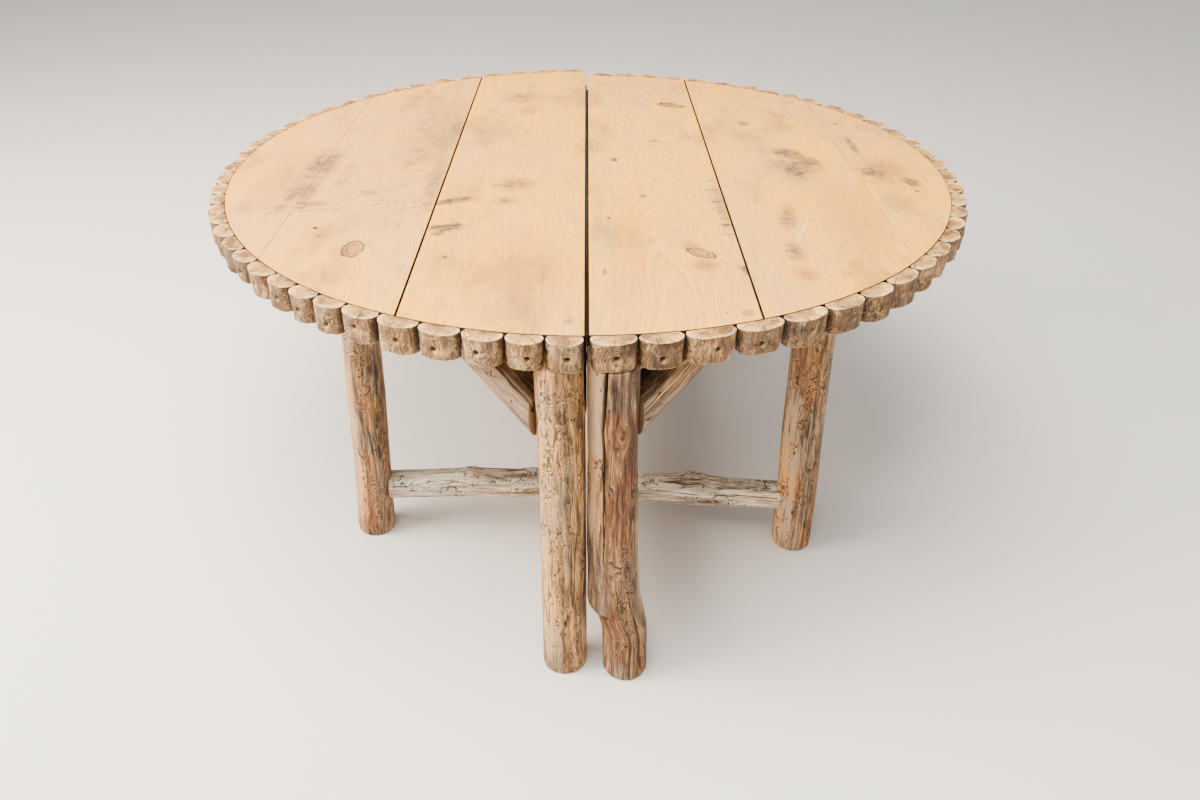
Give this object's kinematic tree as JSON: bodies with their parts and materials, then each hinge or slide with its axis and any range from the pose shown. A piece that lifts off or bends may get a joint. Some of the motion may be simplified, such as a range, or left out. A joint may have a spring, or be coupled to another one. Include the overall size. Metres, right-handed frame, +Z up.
{
  "type": "dining table",
  "caption": "Round rustic dining table in two free-standing halves, with peeled log legs, log stretchers and braces, and a pale board top ringed by half-log slices.",
  "frame": {"origin": "on the floor, under the middle of the table's bounding box", "axes": "+X towards the right half, +Y towards the back edge and away from the viewer, +Z up"},
  "size_m": [1.7212, 1.7867, 0.74],
  "materials": {
    "top_boards": "satin",
    "edge_slices": "satin",
    "peeled_logs": "satin",
    "sawn_rails": "matte"
  },
  "bodies": {
    "left_half": {"left_inner_board": "top_boards", "left_middle_board": "top_boards", "left_outer_board": "top_boards", "left_front_slices": "edge_slices", "left_back_slices": "edge_slices", "left_flat_side_rail": "sawn_rails", "left_gap_cleat": "sawn_rails", "left_front_batten": "sawn_rails", "left_back_batten": "sawn_rails", "left_long_stretcher": "peeled_logs", "left_front_cross_stretcher": "peeled_logs", "left_back_cross_stretcher": "peeled_logs", "left_front_center_leg": "peeled_logs", "left_back_center_leg": "peeled_logs", "left_front_side_leg": "peeled_logs", "left_back_side_leg": "peeled_logs", "left_front_side_brace": "peeled_logs", "left_back_side_brace": "peeled_logs", "left_front_inner_brace": "peeled_logs", "left_back_inner_brace": "peeled_logs"},
    "right_half": {"right_inner_board": "top_boards", "right_middle_board": "top_boards", "right_outer_board": "top_boards", "right_front_slices": "edge_slices", "right_back_slices": "edge_slices", "right_flat_side_rail": "sawn_rails", "right_gap_cleat": "sawn_rails", "right_front_batten": "sawn_rails", "right_back_batten": "sawn_rails", "right_long_stretcher": "peeled_logs", "right_front_cross_stretcher": "peeled_logs", "right_back_cross_stretcher": "peeled_logs", "right_front_center_leg": "peeled_logs", "right_back_center_leg": "peeled_logs", "right_front_side_leg": "peeled_logs", "right_back_side_leg": "peeled_logs", "right_front_side_brace": "peeled_logs", "right_back_side_brace": "peeled_logs", "right_front_inner_brace": "peeled_logs", "right_back_inner_brace": "peeled_logs"}
  },
  "joints": [
    {"name": "halves_apart", "type": "slide", "parent": "left_half", "child": "right_half", "axis": [1, 0, 0], "range_m": [0, 0.4]}
  ]
}
